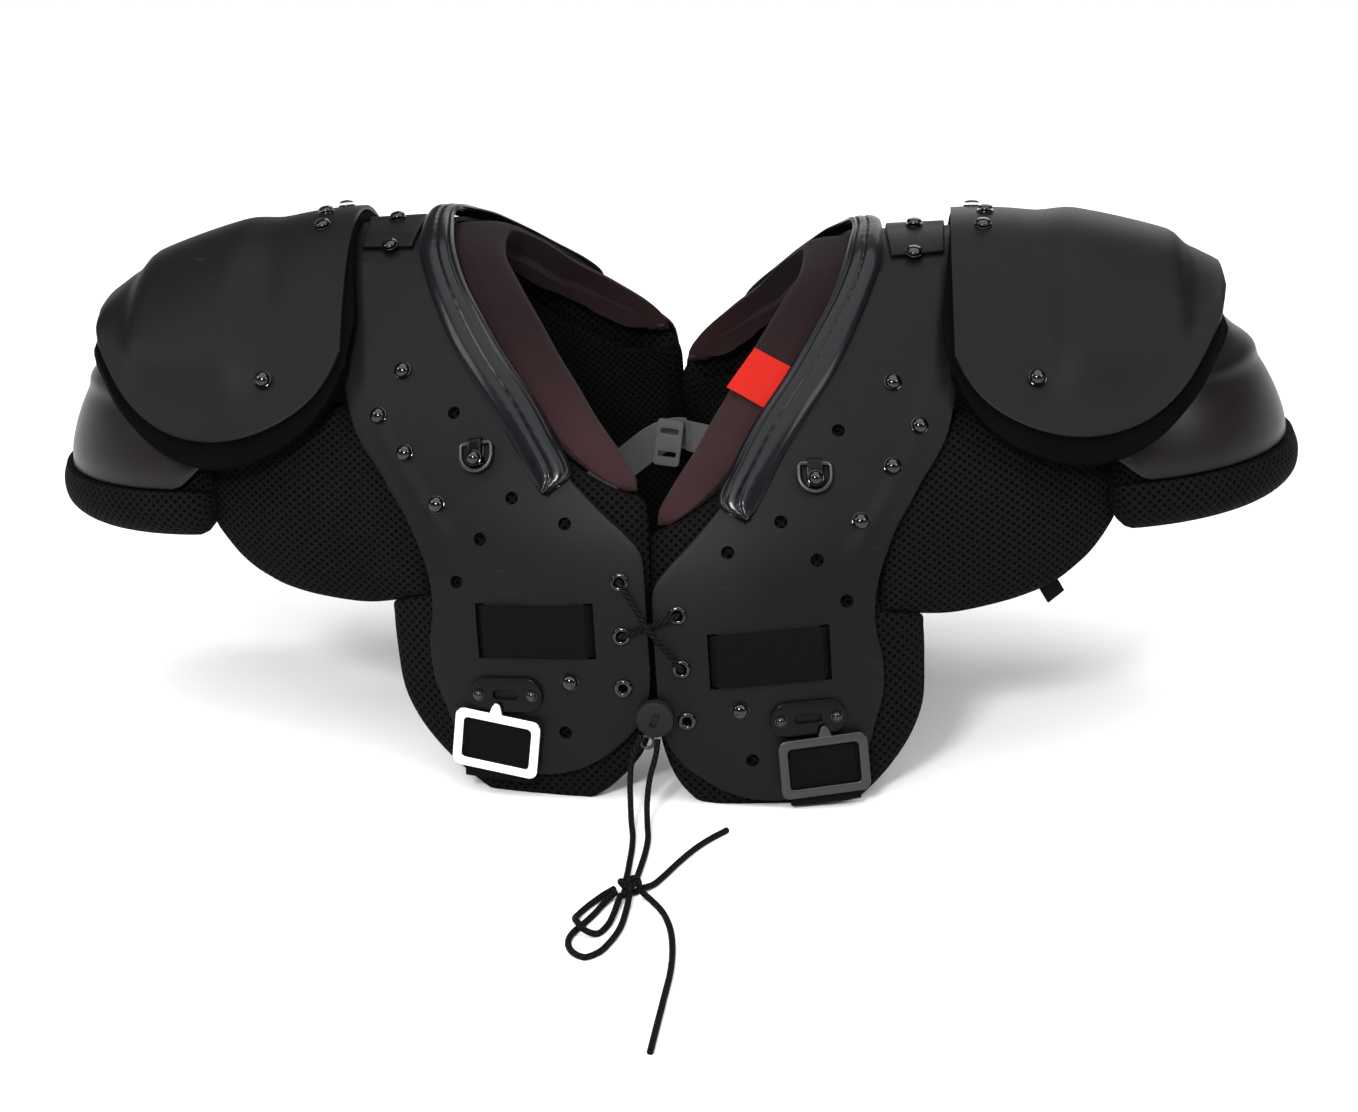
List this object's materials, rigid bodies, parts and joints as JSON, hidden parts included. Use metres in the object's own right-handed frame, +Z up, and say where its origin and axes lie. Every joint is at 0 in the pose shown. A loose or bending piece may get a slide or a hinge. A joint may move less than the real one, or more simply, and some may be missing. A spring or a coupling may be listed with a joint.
{
  "type": "football shoulder pad",
  "caption": "Laced shoulder pads: hard chest, back and arch plates, padded shoulder cups and flaps, lined collar, elastic belts with buckles, and a loose chest lace.",
  "frame": {"origin": "on the floor, under the middle of the pads without their loose lace", "axes": "+Z up; -Y towards the chest; +X from the wearer's right shoulder to the left one"},
  "size_m": [0.6608, 0.5493, 0.2729],
  "materials": {
    "plates": "satin moulded plastic with faint scuffs",
    "cups": "smooth glossy moulded plastic",
    "vinyl": "glossy soft vinyl",
    "mesh": "knitted mesh over foam",
    "lining": "brushed lining cloth",
    "webbing": "flat black elastic webbing",
    "grey_webbing": "grey woven webbing",
    "grey_plastic": "dark grey moulded plastic",
    "bright_metal": "bright plated steel",
    "dark_metal": "darkened plated steel",
    "label": "plain red woven patch",
    "cord": "twisted black lace"
  },
  "bodies": {
    "pads": {"body_pad_right": "mesh", "back_pad_right": "mesh", "front_plate_right": "plates", "back_plate_right": "plates", "shoulder_arch_right": "plates", "bridge_strap_right": "plates", "shoulder_flap_right": "plates", "flap_liner_right": "webbing", "shoulder_cup_right": "cups", "cup_pad_right": "mesh", "chest_pad_right": "mesh", "blade_pad_right": "mesh", "neck_pad_right": "lining", "neck_binding_right": "vinyl", "belt_tab_right": "vinyl", "belt_buckle_right": "dark_metal", "belt_strap_right": "webbing", "slot_strap_right": "webbing", "ring_clip_right": "vinyl", "body_pad_left": "mesh", "back_pad_left": "mesh", "front_plate_left": "plates", "back_plate_left": "plates", "shoulder_arch_left": "plates", "bridge_strap_left": "plates", "shoulder_flap_left": "plates", "flap_liner_left": "webbing", "shoulder_cup_left": "cups", "cup_pad_left": "mesh", "chest_pad_left": "mesh", "blade_pad_left": "mesh", "neck_pad_left": "lining", "neck_binding_left": "vinyl", "belt_tab_left": "vinyl", "belt_buckle_left": "bright_metal", "belt_strap_left": "webbing", "slot_strap_left": "webbing", "ring_clip_left": "vinyl", "lace_cross_upper": "cord", "lace_cross_lower": "cord", "lace_toggle": "grey_plastic", "toggle_ring": "dark_metal", "lace_strand_left": "cord", "lace_strand_right": "cord", "bow_loop_upper": "cord", "bow_loop_lower": "cord", "lace_end_upper": "cord", "lace_end_lower": "cord", "lace_knot": "cord", "back_strap": "grey_webbing", "back_strap_slide": "grey_plastic", "neck_label": "label", "chest_tab": "webbing"},
    "ring_right": {"d_ring_right": "dark_metal"},
    "ring_left": {"d_ring_left": "dark_metal"}
  },
  "joints": [
    {"name": "ring_right_hinge", "type": "hinge", "parent": "pads", "child": "ring_right", "pos_m": [0.08162, -0.10044, 0.16928], "axis": [-0.9884, -0.1511, 0.0183], "range_deg": [0, 110]},
    {"name": "ring_left_hinge", "type": "hinge", "parent": "pads", "child": "ring_left", "pos_m": [-0.08669, -0.10044, 0.17542], "axis": [-0.9751, 0.1511, -0.1625], "range_deg": [0, 110]}
  ]
}
